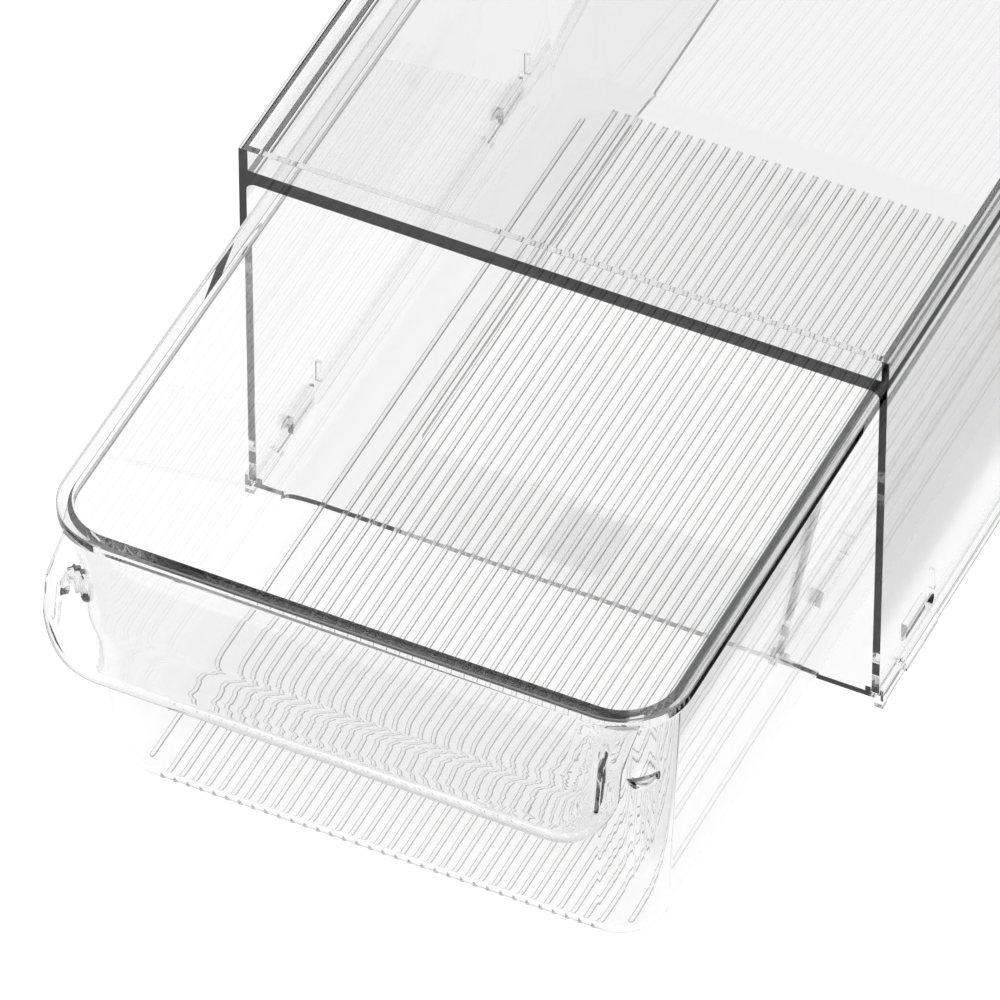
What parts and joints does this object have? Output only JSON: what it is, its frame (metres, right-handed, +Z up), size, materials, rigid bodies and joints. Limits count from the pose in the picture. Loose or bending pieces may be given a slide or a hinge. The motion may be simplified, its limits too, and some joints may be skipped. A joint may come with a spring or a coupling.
{
  "type": "fridge bin",
  "caption": "Clear stackable fridge bin: a tapered pull-out drawer with a rolled pull flange, sliding in an open-fronted housing that snaps onto a base plate.",
  "frame": {"origin": "on the surface the feet stand on, under the middle of the bin as it stands with its drawer pulled out", "axes": "+Z up; -Y to the front, the way the drawer pulls out; +X to the right as seen from its front"},
  "size_m": [0.2088, 0.5062, 0.141],
  "materials": {
    "housing_plastic": "water-clear polished polystyrene",
    "base_plastic": "water-clear polished polystyrene",
    "drawer_plastic": "water-clear polished polystyrene"
  },
  "bodies": {
    "housing": {"housing_shell": "housing_plastic", "base_plate": "base_plastic"},
    "drawer": {"drawer": "drawer_plastic"}
  },
  "joints": [
    {"name": "drawer_slide", "type": "slide", "parent": "housing", "child": "drawer", "axis": [0, -1, 0], "range_m": [-0.139, 0.15]}
  ]
}
